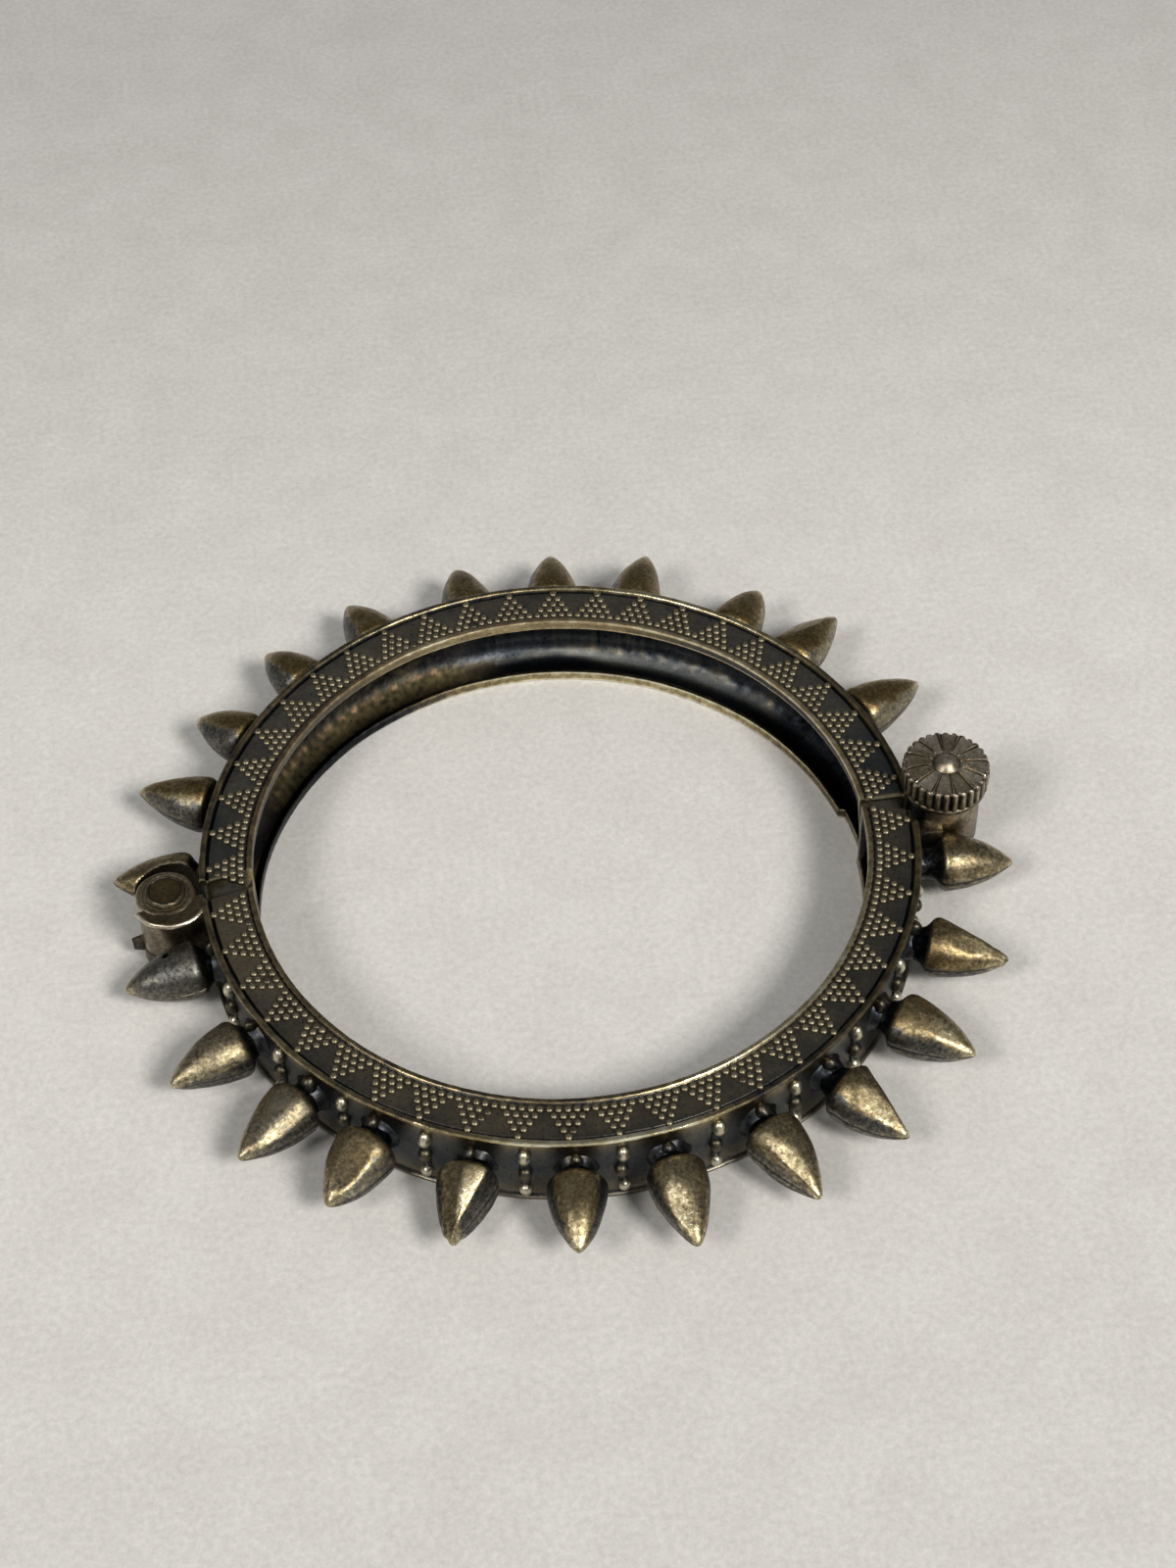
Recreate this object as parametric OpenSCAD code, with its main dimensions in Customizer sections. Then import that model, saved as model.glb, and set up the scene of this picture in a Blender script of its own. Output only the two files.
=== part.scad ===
// Hinged folk bangle: two channel-shaped half rings with soldered spikes,
// a riveted hinge on the left (-X) and a screw clasp on the right (+X).
// Millimetres, +Z along the wrist, origin at the ring's centre on the plane it lies on.

/* [Ring] */
// Radius of the wrist opening
inner_r = 30; // [28:0.5:33]
// Radius of the outer wall
wall_r = 34.7; // [34.4:0.1:34.9]
// Outer radius of the raised rims
rim_r = 35.2; // [35.1:0.1:35.3]
// Height of the band from rim to rim
band_h = 9.2; // [8.8:0.1:9.6]
// How far the rims stand above the patterned faces
rim_rise = 0.3; // [0.2:0.05:0.4]
// Width of an outer rim
rim_w = 0.7; // [0.5:0.1:0.9]
// Thickness of the sheet at the thinnest place
sheet_t = 0.6; // [0.5:0.05:0.7]
// Depth of the turned inner lips
lip_h = 1.2; // [0.9:0.1:1.5]
// Thickness of the turned inner lips
lip_t = 0.55; // [0.45:0.05:0.65]

/* [Joints between the halves] */
// Gap between the half rings at the hinge
hinge_gap = 1.7; // [1.5:0.1:2]
// Slant of the gap at the hinge, in degrees
hinge_slant = 10; // [8:1:12]
// Gap at the clasp, at the wrist opening
clasp_gap_in = 0.9; // [0.8:0.1:1.2]
// Gap at the clasp, at the outer wall
clasp_gap_out = 1.9; // [1.6:0.1:2.1]
// Angle that each end plate takes up, in degrees
end_plate_a = 2.4; // [2:0.1:3]

/* [Spikes] */
// Radius of a spike at its shoulder
spike_r = 2.85; // [2.6:0.05:2.9]
// Radius of a spike's root at the wall
spike_root_r = 1.5; // [1.3:0.1:1.7]
// Length of the cone from the wall to the shoulder
spike_neck = 2.4; // [2:0.1:2.6]
// Radius of a spike's blunt tip
spike_tip_r = 0.4; // [0.3:0.05:0.5]

/* [Granules] */
// Triangles of granules on each face of a half ring
triangles = 23; // [23:1:23]
// Granules in the first row of a triangle
tri_rows = 5; // [5:1:5]
// Angle from one triangle to the next, in degrees
tri_pitch = 7.75; // [7.7:0.01:7.76]
// Radius of the first row of granules
tri_r = 31.15; // [31.1:0.05:31.2]
// Distance from one row to the next
row_step = 0.75; // [0.7:0.01:0.77]
// Radius of a granule on the faces
granule_r = 0.34; // [0.3:0.01:0.36]
// How far the field of granules stands above the face
granule_rise = 0.22; // [0.15:0.01:0.25]
// Radius of the three balls in each column on the wall
ball_r = 0.65; // [0.55:0.05:0.7]
// Height from one ball to the next
ball_step = 2.6; // [2.3:0.1:2.7]
// Height of the middle ball
ball_z = 4.2; // [4:0.1:4.4]

/* [Hinge] */
// Distance of the hinge pin from the ring's centre
hinge_x = 38.5; // [38.4:0.05:38.6]
// Radius of the hinge barrel
hinge_barrel_r = 3; // [2.8:0.1:3.1]
// Radius of the hinge pin
pin_r = 1.2; // [1:0.1:1.3]
// Radius of the riveted pin head
pin_head_r = 2; // [1.8:0.1:2.2]
// Height where the two hinge knuckles meet
hinge_split_z = 2.2; // [2.1:0.1:2.4]
// Radius of the hollow that clears the barrel in the spike beside it
hinge_clear_r = 5; // [4.6:0.1:5]

/* [Clasp] */
// Distance of the clasp screw from the ring's centre
clasp_r = 38.6; // [38.55:0.05:38.7]
// Angle of the clasp screw from the joint, in degrees
clasp_a = 1.8; // [1.5:0.1:2]
// Radius of the clasp barrel
clasp_barrel_r = 3.7; // [3.5:0.05:3.7]
// Radius of the lower clasp knuckle
clasp_hook_r = 3.3; // [3.1:0.1:3.4]
// Height where the clasp barrel and the hook below it meet
clasp_split_z = 2.8; // [2.7:0.1:3]
// Radius of the clasp screw's shank
screw_r = 1.3; // [1.1:0.1:1.4]
// Radius of the knurled knob
knob_r = 4.3; // [4.1:0.1:4.4]
// Height of the knob's fluted side
knob_h = 2.6; // [2.2:0.1:3]
// Number of flutes round the knob
flutes = 30; // [24:1:34]

/* [Hidden] */
$fn = 64;

SILVER = "#8d8266";

// Columns of both tables: angle round the ring in degrees, reach of the tip from the centre
FAR_SPIKES = [
    [25, 44.5],
    [41, 45],
    [52.5, 43.5],
    [70, 45],
    [83, 44],
    [97, 43.5],
    [113.5, 43.5],
    [128, 43],
    [142.5, 43],
    [157, 44],
    [172.5, 44]
];
NEAR_SPIKES = [
    [189.5, 44],
    [205.8, 44.3],
    [220, 44.5],
    [233, 44],
    [248.5, 43.5],
    [264, 43.5],
    [277.5, 45],
    [293.5, 45],
    [307, 45],
    [321.5, 45],
    [336.5, 44.5],
    [352.8, 44.6]
];

ANGLE = 0;
REACH = 1;
mid_z = band_h / 2;
face_z = band_h - rim_rise;
trough_r = 2.5;
trough_x = wall_r - sheet_t - trough_r - 0.1;
trough_top = face_z - sheet_t + 0.1;
flange_t = 0.45;
fit = 0.05;
slack = 0.3;
// The patterns of both halves sit this far round from the middle of the half ring
pattern_shift = 0.75;
tri_half_a = (tri_rows / 2) * tri_pitch / tri_rows;
clasp_x = clasp_r * cos(clasp_a);
clasp_y = clasp_r * sin(clasp_a);
barrel_top = band_h - 0.1;
knuckle_z = 0.4;
knob_z = band_h + 0.1;
knob_flange_h = 0.6;
boss_r = 1.3;
lip_cut_a = 11;

// One face of the band's section: rim outside, patterned face, turned lip inside
module face_section() {
    translate([rim_r - rim_w, band_h - flange_t]) square([rim_w, flange_t]);
    translate([inner_r, face_z - sheet_t]) square([wall_r - inner_r, sheet_t]);
    translate([inner_r, face_z + 0.15 - lip_h]) square([lip_t, lip_h]);
}

// The section without its hollow, which closes the ends
module full_section() {
    face_section();
    translate([0, band_h]) mirror([0, 1]) face_section();
    translate([inner_r, band_h - face_z]) square([wall_r - inner_r, 2 * face_z - band_h]);
}

// The smooth trough that opens towards the wrist
module trough_section() {
    for (z = [band_h - trough_top + trough_r, trough_top - trough_r])
        translate([trough_x, z]) circle(r = trough_r);
    translate([inner_r - 1, band_h - trough_top]) square([trough_x - inner_r + 1, 2 * trough_top - band_h]);
    translate([trough_x - 1, mid_z - 1]) square([trough_r + 1, 2]);
}

// The trough without the turned lips that stand across its mouth
module hollow_section() {
    difference() {
        trough_section();
        for (z = [band_h - face_z - 0.15, face_z + 0.15 - lip_h])
            translate([inner_r - 3, z]) square([3 + lip_t, lip_h]);
    }
}

// The gap between the half rings, cut on both sides of the joint line
module joint_gaps() {
    translate([-(inner_r + wall_r) / 2, 0, mid_z])
        rotate([0, 0, hinge_slant]) cube([14, hinge_gap, 2 * band_h], center = true);
    far_y = clasp_gap_in * 0.8;
    translate([0, 0, -1]) linear_extrude(band_h + 2)
        polygon([
            [inner_r - 2, far_y],
            [inner_r - 2, far_y - clasp_gap_in + 0.3],
            [rim_r + 1, far_y - clasp_gap_out],
            [rim_r + 1, far_y]
        ]);
}

module half_ring(turn) {
    rotate([0, 0, turn]) difference() {
        rotate_extrude(angle = 180, $fn = 180) full_section();
        rotate([0, 0, end_plate_a])
            rotate_extrude(angle = 180 - 2 * end_plate_a, $fn = 180) hollow_section();
    }
}

// A spike: cone from the wall to the shoulder, then a pointed dome with a blunt tip
module spike(angle, reach) {
    dome = reach - wall_r - spike_neck;
    inset = spike_r - spike_tip_r * 0.6;
    arc_r = (dome * dome + inset * inset) / (2 * inset);
    rotate([0, 0, angle]) translate([wall_r, 0, mid_z]) rotate([0, 90, 0]) rotate([0, 0, 90])
        rotate_extrude($fn = 48) {
            polygon([
                [0, -0.5],
                [spike_root_r, -0.5],
                [spike_root_r, 0.2],
                [spike_r, spike_neck],
                [0, spike_neck]
            ]);
            intersection() {
                translate([spike_r - arc_r, spike_neck]) circle(r = arc_r, $fn = 180);
                translate([0, spike_neck]) square([spike_r + 1, dome]);
            }
        }
}

// Three balls standing on the wall halfway between two spikes
module ball_column(angle) {
    for (step = [-1, 0, 1])
        rotate([0, 0, angle])
            translate([wall_r + 0.15, 0, ball_z + step * ball_step])
                rotate([0, 90, 0]) sphere(r = ball_r, $fn = 24);
}

module spikes_and_balls(table) {
    for (row = table) spike(row[ANGLE], row[REACH]);
    for (i = [1 : len(table) - 1]) ball_column((table[i - 1][ANGLE] + table[i][ANGLE]) / 2);
}

// One triangle of granules, as a low pad as high as the granules stand
module granule_pad() {
    foot = tri_r - granule_r;
    apex = tri_r + (tri_rows - 1) * row_step + granule_r;
    half_foot = foot * tan(tri_half_a) - 0.05;
    linear_extrude(granule_rise + 0.1)
        polygon([
            [foot, -half_foot],
            [foot + 0.4, -half_foot],
            [apex, -granule_r],
            [apex, granule_r],
            [foot + 0.4, half_foot],
            [foot, half_foot]
        ]);
}

module granule_pads(turn) {
    for (i = [0 : triangles - 1])
        rotate([0, 0, turn + 90 + pattern_shift + (i - (triangles - 1) / 2) * tri_pitch]) {
            translate([0, 0, face_z - 0.1]) granule_pad();
            translate([0, 0, band_h - face_z - granule_rise]) granule_pad();
        }
}

module leaf(x, y, z, size) {
    translate([x, y, z]) cube(size);
}

module far_half() {
    leaf_in = wall_r - 0.4;
    color(SILVER) difference() {
        union() {
            difference() {
                union() {
                    half_ring(0);
                    granule_pads(0);
                }
                joint_gaps();
            }
            difference() {
                spikes_and_balls(FAR_SPIKES);
                translate([-hinge_x, 0, -1]) cylinder(r = hinge_clear_r, h = band_h + 2);
            }
            // lower knuckle of the hinge and its leaf
            translate([-hinge_x, 0, knuckle_z]) cylinder(r = hinge_barrel_r, h = hinge_split_z - knuckle_z);
            leaf(-hinge_x, 0.7, knuckle_z, [hinge_x - leaf_in, 2.1, hinge_split_z - knuckle_z]);
            // lower knuckle of the clasp and its leaf
            translate([clasp_x, clasp_y, knuckle_z])
                cylinder(r = clasp_hook_r, h = clasp_split_z - slack - knuckle_z);
            leaf(leaf_in, clasp_y - 0.3, knuckle_z,
                [clasp_x - leaf_in, 3, clasp_split_z - slack - knuckle_z]);
        }
        translate([-hinge_x, 0, -1]) cylinder(r = pin_r + fit, h = band_h);
        // open hook: the screw's shank leaves it sideways as the bangle opens
        translate([clasp_x, clasp_y, -1]) cylinder(r = screw_r + slack, h = clasp_split_z + 1);
        translate([clasp_x - screw_r - slack, clasp_y - clasp_hook_r - 1, -1])
            cube([2 * (screw_r + slack), clasp_hook_r + 1, clasp_split_z + 1]);
        // room for the other half's clasp barrel
        translate([clasp_x, clasp_y, clasp_split_z - slack])
            cylinder(r = clasp_barrel_r + fit * 3, h = band_h);
        // the lower lip stops short of the clasp
        rotate([0, 0, -1]) rotate_extrude(angle = lip_cut_a + 1, $fn = 180)
            translate([inner_r - 1, -1]) square([1 + lip_t + 0.1, lip_h + 1.1]);
    }
}

module near_half() {
    leaf_in = wall_r - 0.4;
    upper_z = hinge_split_z + 0.1;
    color(SILVER) difference() {
        union() {
            difference() {
                union() {
                    half_ring(180);
                    granule_pads(180);
                }
                joint_gaps();
            }
            spikes_and_balls(NEAR_SPIKES);
            // barrel of the hinge, its leaf, and the ear soldered over it
            translate([-hinge_x, 0, upper_z]) cylinder(r = hinge_barrel_r, h = barrel_top - upper_z);
            leaf(-hinge_x, -2.7, upper_z, [hinge_x - leaf_in, 1.5, barrel_top - 0.15 - upper_z]);
            intersection() {
                translate([-hinge_x + 0.5, -1.2, barrel_top - 0.9]) cylinder(r = 3.5, h = 0.8);
                leaf(-hinge_x - 5, -6, 0, [8, 4.9, 2 * band_h]);
            }
            // barrel of the clasp and its leaf
            translate([clasp_x, clasp_y, clasp_split_z])
                cylinder(r = clasp_barrel_r, h = barrel_top - clasp_split_z);
            leaf(leaf_in, -3.1, clasp_split_z + 0.3,
                [clasp_x - leaf_in - 0.9, 1.8, barrel_top - clasp_split_z - 0.6]);
        }
        translate([-hinge_x, 0, -1]) cylinder(r = pin_r + fit, h = 2 * band_h);
        translate([clasp_x, clasp_y, -1]) cylinder(r = screw_r + fit, h = 2 * band_h);
    }
}

module hinge_pin() {
    head_z = barrel_top + 0.05;
    color("#6f6347") difference() {
        translate([-hinge_x, 0, 0]) {
            translate([0, 0, 0.05]) cylinder(r = pin_r, h = head_z);
            translate([0, 0, 0.05]) cylinder(r = pin_head_r - 0.2, h = knuckle_z - 0.1);
            translate([0, 0, head_z]) cylinder(r = pin_head_r, h = 0.5);
        }
        translate([-hinge_x, 0, head_z + 0.2]) cylinder(r = pin_head_r - 0.35, h = 1);
    }
}

module knob_outline() {
    difference() {
        circle(r = knob_r);
        for (i = [0 : flutes - 1])
            rotate([0, 0, i * 360 / flutes]) translate([knob_r + 0.1, 0]) circle(r = 0.33, $fn = 16);
    }
}

module clasp_screw() {
    shank_z = knuckle_z + 0.2;
    color("#857856") translate([clasp_x, clasp_y, 0]) {
        translate([0, 0, shank_z]) cylinder(r = screw_r, h = knob_z - shank_z + 0.1);
        translate([0, 0, knob_z]) cylinder(r = knob_r - 0.15, h = knob_flange_h);
        translate([0, 0, knob_z + knob_flange_h]) linear_extrude(knob_h) knob_outline();
        translate([0, 0, knob_z + knob_flange_h + knob_h - 0.6]) sphere(r = boss_r);
    }
}

far_half();
near_half();
hinge_pin();
clasp_screw();
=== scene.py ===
# The looks of a hinged silver bangle with spikes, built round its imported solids.
# The bangle's pieces are made in millimetres and become metres as they are finished. The camera and
# the lamps stand in metres.
import math
import random

import bmesh
import bpy
from mathutils import Matrix, Vector, noise


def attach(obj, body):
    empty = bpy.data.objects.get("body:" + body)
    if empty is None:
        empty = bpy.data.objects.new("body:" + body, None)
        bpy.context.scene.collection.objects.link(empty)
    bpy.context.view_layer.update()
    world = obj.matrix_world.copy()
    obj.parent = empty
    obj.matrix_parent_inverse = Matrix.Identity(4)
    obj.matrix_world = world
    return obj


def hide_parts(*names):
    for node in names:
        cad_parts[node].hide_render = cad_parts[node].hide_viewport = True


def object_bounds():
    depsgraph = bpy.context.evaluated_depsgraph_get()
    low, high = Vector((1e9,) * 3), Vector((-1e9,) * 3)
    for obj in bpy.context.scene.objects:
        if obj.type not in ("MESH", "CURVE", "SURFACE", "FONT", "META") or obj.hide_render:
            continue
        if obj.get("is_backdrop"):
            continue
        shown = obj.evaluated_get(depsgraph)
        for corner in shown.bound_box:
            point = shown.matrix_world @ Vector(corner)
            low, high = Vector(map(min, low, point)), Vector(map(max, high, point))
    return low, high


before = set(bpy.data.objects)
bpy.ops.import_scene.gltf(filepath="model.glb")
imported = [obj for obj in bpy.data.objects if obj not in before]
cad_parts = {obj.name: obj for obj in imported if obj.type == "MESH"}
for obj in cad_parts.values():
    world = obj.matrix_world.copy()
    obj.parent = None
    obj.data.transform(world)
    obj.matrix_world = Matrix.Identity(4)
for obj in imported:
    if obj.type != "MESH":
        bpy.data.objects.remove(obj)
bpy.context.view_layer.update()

# The table and the light
# A sheet of pale, faintly mottled paper lies under the bangle, a tall camera looks down on it from
# the front, and soft lights stand to the front right and to the front left.
camera_place = Vector((-0.02218, -0.18534, 0.23534))
camera_look = Vector((0.0873, 0.6455, -0.7587)).normalized()
camera_right = Vector((0.9886, -0.1501, -0.0140))
camera_up = camera_right.cross(camera_look).normalized()
camera_right = camera_look.cross(camera_up)
camera = bpy.data.objects.new("camera", bpy.data.cameras.new("camera"))
camera.matrix_world = (
    Matrix.Translation(camera_place)
    @ Matrix((camera_right, camera_up, -camera_look)).transposed().to_4x4()
)
camera.data.sensor_width = 36
camera.data.lens = 68.98
camera.data.clip_start = 0.005
bpy.context.scene.collection.objects.link(camera)
bpy.context.scene.camera = camera
bpy.context.scene.view_settings.view_transform = "Standard"

paper = bpy.data.materials.new("paper")
paper.use_nodes = True


def paper_node(kind, values):
    """A node of the paper, with values for some of its sockets."""
    node = paper.node_tree.nodes.new("ShaderNode" + kind)
    for socket, value in values.items():
        node.inputs[socket].default_value = value
    return node


paper_shader = paper.node_tree.nodes["Principled BSDF"]
paper_shader.inputs["Roughness"].default_value = 0.85
paper_place = paper_node("TexCoord", {})
paper_blotches = paper_node("TexNoise", {"Scale": 130, "Detail": 6, "Roughness": 0.7})
paper_tint = paper_node("ValToRGB", {})
paper_tint.color_ramp.elements[0].position = 0.3
paper_tint.color_ramp.elements[0].color = (0.725, 0.706, 0.675, 1)
paper_tint.color_ramp.elements[1].position = 0.7
paper_tint.color_ramp.elements[1].color = (0.80, 0.783, 0.752, 1)
paper_grain = paper_node("TexNoise", {"Scale": 1500, "Detail": 6, "Roughness": 0.75})
paper_speck = paper_node(
    "MapRange", {"From Min": 0.3, "From Max": 0.7, "To Min": 0.85, "To Max": 1.11}
)
# Painted shade: the sheet's colour darkens towards its far side, in place of weaker light there.
paper_depth = paper_node("SeparateXYZ", {})
paper_fade = paper_node("MapRange", {"From Min": -0.06, "From Max": 0.15})
paper_painted_shade = paper_node("ValToRGB", {})
paper_painted_shade.color_ramp.elements[0].color = (0.94, 0.94, 0.94, 1)
paper_painted_shade.color_ramp.elements[1].color = (0.745, 0.745, 0.745, 1)
paper_painted_shade.color_ramp.elements.new(0.25).color = (1, 1, 1, 1)
paper_painted_shade.color_ramp.elements.new(0.45).color = (0.985, 0.985, 0.985, 1)
paper_dose = paper_node("Math", {})
paper_dose.operation = "MULTIPLY"
paper_shade = paper_node("VectorMath", {})
paper_shade.operation = "SCALE"
for source, target in (
    (paper_place.outputs["Object"], paper_blotches.inputs["Vector"]),
    (paper_place.outputs["Object"], paper_grain.inputs["Vector"]),
    (paper_place.outputs["Object"], paper_depth.inputs["Vector"]),
    (paper_blotches.outputs["Fac"], paper_tint.inputs["Fac"]),
    (paper_grain.outputs["Fac"], paper_speck.inputs["Value"]),
    (paper_depth.outputs["Y"], paper_fade.inputs["Value"]),
    (paper_fade.outputs["Result"], paper_painted_shade.inputs["Fac"]),
    (paper_painted_shade.outputs["Color"], paper_dose.inputs[0]),
    (paper_speck.outputs["Result"], paper_dose.inputs[1]),
    (paper_tint.outputs["Color"], paper_shade.inputs["Vector"]),
    (paper_dose.outputs["Value"], paper_shade.inputs["Scale"]),
    (paper_shade.outputs["Vector"], paper_shader.inputs["Base Color"]),
):
    paper.node_tree.links.new(source, target)

floor_mesh = bpy.data.meshes.new("floor")
floor_form = bmesh.new()
bmesh.ops.create_grid(floor_form, x_segments=1, y_segments=1, size=1.5)
floor_form.to_mesh(floor_mesh)
floor_form.free()
floor_mesh.materials.append(paper)
floor = bpy.data.objects.new("floor", floor_mesh)
bpy.context.scene.collection.objects.link(floor)
floor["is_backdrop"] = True

world = bpy.data.worlds.new("room")
world.use_nodes = True
world.node_tree.nodes["Background"].inputs["Color"].default_value = (0.96, 0.98, 1.0, 1)
world.node_tree.nodes["Background"].inputs["Strength"].default_value = 0.18
bpy.context.scene.world = world

# Columns: name, azimuth from the front towards the right in degrees, elevation, distance in metres,
# width, height, power in watts, colour
SOFTBOXES = [
    ("front_right", 33, 46, 2.4, 0.62, 0.62, 40, (1.0, 0.98, 0.93)),
    ("front_left", -53, 46, 1.8, 0.46, 0.46, 10.6, (1.0, 0.98, 0.94)),
]
for name, azimuth, elevation, distance, width, height, power, tint in SOFTBOXES:
    lamp = bpy.data.lights.new(name, "AREA")
    lamp.shape = "RECTANGLE"
    lamp.size = width
    lamp.size_y = height
    lamp.energy = power
    lamp.color = tint
    turn = math.radians(azimuth)
    lift = math.radians(elevation)
    toward = Vector(
        (math.sin(turn) * math.cos(lift), -math.cos(turn) * math.cos(lift), math.sin(lift))
    )
    stand = bpy.data.objects.new(name, lamp)
    stand.location = toward * distance
    stand.rotation_euler = toward.to_track_quat("Z", "Y").to_euler()
    bpy.context.scene.collection.objects.link(stand)

# The two half rings
# Each is raised from thin low-grade silver: a trough open to the wrist, flat faces above and below,
# a thick rounded rim outside and a turned lip inside. Plates close its four ends.
INNER_R = 30.0
WALL_R = 34.7
MID_Z = 4.6
BAND_H = 9.2
FACE_Z = 8.9
TROUGH_R = 2.5
TROUGH_X = 31.5
TROUGH_Z = 5.9
RING_STEPS = 330

# Columns: distance from the wrist's middle, height, wear from 0 (black) to 1 (rubbed bright). The
# light rows high on the wall and at the lip's upper and lower edges are partly rubbed metal and partly
# painted highlight.
UPPER_SECTION = [
    (34.70, 4.60, 0.22),
    (34.70, 6.60, 0.26),
    (34.70, 7.90, 0.50),
    (34.72, 8.50, 0.50),
    (34.82, 8.64, 0.30),
    (35.06, 8.68, 0.44),
    (35.18, 8.78, 0.56),
    (35.21, 8.96, 0.54),
    (35.15, 9.11, 0.54),
    (35.02, 9.18, 0.48),
    (34.86, 9.20, 0.46),
    (34.70, 9.16, 0.54),
    (34.58, 9.06, 0.50),
    (34.52, 8.90, 0.25),
    (34.44, 8.78, 0.02),
    (34.32, 8.77, 0.02),
    (34.22, 8.88, 0.38),
    (33.40, 8.90, 0.44),
    (32.20, 8.90, 0.44),
    (30.80, 8.90, 0.44),
    (30.68, 8.83, 0.12),
    (30.61, 8.88, 0.40),
    (30.54, 9.00, 0.64),
    (30.40, 9.08, 0.55),
    (30.16, 9.08, 0.55),
    (30.04, 9.00, 0.74),
    (30.00, 8.86, 0.60),
    (30.00, 8.70, 0.40),
    (30.00, 8.22, 0.40),
    (30.00, 8.10, 0.58),
    (30.06, 7.94, 0.72),
    (30.26, 7.88, 0.30),
    (30.48, 7.95, 0.15),
    (30.60, 8.20, 0.05),
    (30.95, 8.38, 0.05),
    (31.50, 8.40, 0.08),
]
for lean in range(10, 90, 10):
    UPPER_SECTION.append(
        (
            TROUGH_X + TROUGH_R * math.sin(math.radians(lean)),
            TROUGH_Z + TROUGH_R * math.cos(math.radians(lean)),
            0.22,
        )
    )
UPPER_SECTION.append((TROUGH_X + TROUGH_R, TROUGH_Z, 0.28))
UPPER_SECTION.append((TROUGH_X + TROUGH_R, MID_Z, 0.28))
SECTION = UPPER_SECTION + [(r, BAND_H - z, wear_and_painted_light) for r, z, wear_and_painted_light in UPPER_SECTION[-2:0:-1]]


def patinated(name, tones, mottle, speckle, roughness, bump, tint=None, film_matt=0.0):
    """Tarnished silver whose vertices carry a tone from black to rubbed bright: worn metal, and in
    places painted highlight and painted shade.

    tones are (position, colour) rows from tarnish to bare metal, mottle and speckle say how much the
    large and the fine noise move that tone, roughness is (tarnished, rubbed). tint rows are colours of
    a matt film that lies wherever the vertices carry scorch, chosen by their hue.
    """
    made = bpy.data.materials.new(name)
    made.use_nodes = True
    nodes = made.node_tree.nodes
    links = made.node_tree.links
    shader = nodes["Principled BSDF"]
    shader.inputs["Metallic"].default_value = 1.0

    def new(kind, **settings):
        node = nodes.new("ShaderNode" + kind)
        for key, value in settings.items():
            setattr(node, key, value)
        return node

    def carried(layer):
        return new("Attribute", attribute_name=layer).outputs["Fac"]

    def grain(scale, detail, rough):
        node = new("TexNoise")
        node.inputs["Scale"].default_value = scale
        node.inputs["Detail"].default_value = detail
        node.inputs["Roughness"].default_value = rough
        links.new(place.outputs["Object"], node.inputs["Vector"])
        return node.outputs["Fac"]

    def reckon(operation, a, b, clamp=False):
        node = new("Math", operation=operation, use_clamp=clamp)
        for socket, value in zip(node.inputs, (a, b)):
            if isinstance(value, (int, float)):
                socket.default_value = value
            else:
                links.new(value, socket)
        return node.outputs[0]

    def spread(value, amount):
        """Noise about 0 instead of 0.5, times an amount."""
        return reckon("MULTIPLY", reckon("SUBTRACT", value, 0.5), amount)

    def span(value, low, high, least, most):
        """least at low, most at high, even between."""
        node = new("MapRange")
        node.inputs["From Min"].default_value = low
        node.inputs["From Max"].default_value = high
        node.inputs["To Min"].default_value = least
        node.inputs["To Max"].default_value = most
        links.new(value, node.inputs["Value"])
        return node.outputs["Result"]

    def shades(value, rows):
        """A colour for each value, blended between the rows."""
        node = new("ValToRGB")
        stops = node.color_ramp.elements
        for stop, (position, colour) in zip(stops, (rows[0], rows[-1])):
            stop.position = position
            stop.color = (*colour, 1)
        for position, colour in rows[1:-1]:
            stops.new(position).color = (*colour, 1)
        links.new(value, node.inputs["Fac"])
        return node.outputs["Color"]

    place = new("TexCoord")
    large = grain(420, 4, 0.6)
    fine = grain(2400, 6, 0.8)
    pits = span(grain(2900, 2, 0.5), 0.62, 0.70, 0.0, -0.2)
    shift = reckon("ADD", reckon("ADD", spread(large, mottle), spread(fine, speckle)), pits)
    amount = reckon("ADD", carried("wear_and_painted_light"), shift, clamp=True)
    colour = shades(amount, tones)
    dull = span(amount, 0.0, 1.0, *roughness)
    if tint:
        scorch = carried("scorch")
        drift = spread(grain(520, 5, 0.7), 0.5)
        film = new("VectorMath", operation="SCALE")
        links.new(
            shades(reckon("ADD", carried("hue"), drift, clamp=True), tint), film.inputs["Vector"]
        )
        links.new(span(amount, 0.15, 0.85, 0.3, 1.6), film.inputs["Scale"])
        cover = reckon("MULTIPLY", scorch, span(amount, 0.6, 1.0, 1.0, 0.35))
        blend = new("Mix", data_type="RGBA")
        links.new(cover, blend.inputs["Factor"])
        links.new(colour, blend.inputs["A"])
        links.new(film.outputs["Vector"], blend.inputs["B"])
        colour = blend.outputs["Result"]
        dull = reckon("ADD", dull, reckon("MULTIPLY", scorch, film_matt), clamp=True)
    links.new(colour, shader.inputs["Base Color"])
    links.new(dull, shader.inputs["Roughness"])
    relief = new("Bump")
    relief.inputs["Strength"].default_value = bump
    relief.inputs["Distance"].default_value = 0.00005
    links.new(reckon("ADD", reckon("ADD", fine, large), pits), relief.inputs["Height"])
    links.new(relief.outputs["Normal"], shader.inputs["Normal"])
    return made


def absorb(form, part):
    """Adds a small form to a large one."""
    scrap = bpy.data.meshes.new("scrap")
    part.to_mesh(scrap)
    part.free()
    form.from_mesh(scrap)
    bpy.data.meshes.remove(scrap)


# One seed keeps the unevenness the same every time.
noise.seed_set(4)


def jitter(verts, amount, size, seed):
    """Hand-made unevenness: moves points by smooth noise of that size."""
    away = Vector((seed * 17.3, seed * 5.1, seed * 9.7))
    for vert in verts:
        vert.co += noise.noise_vector(vert.co / size + away) * amount


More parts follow.
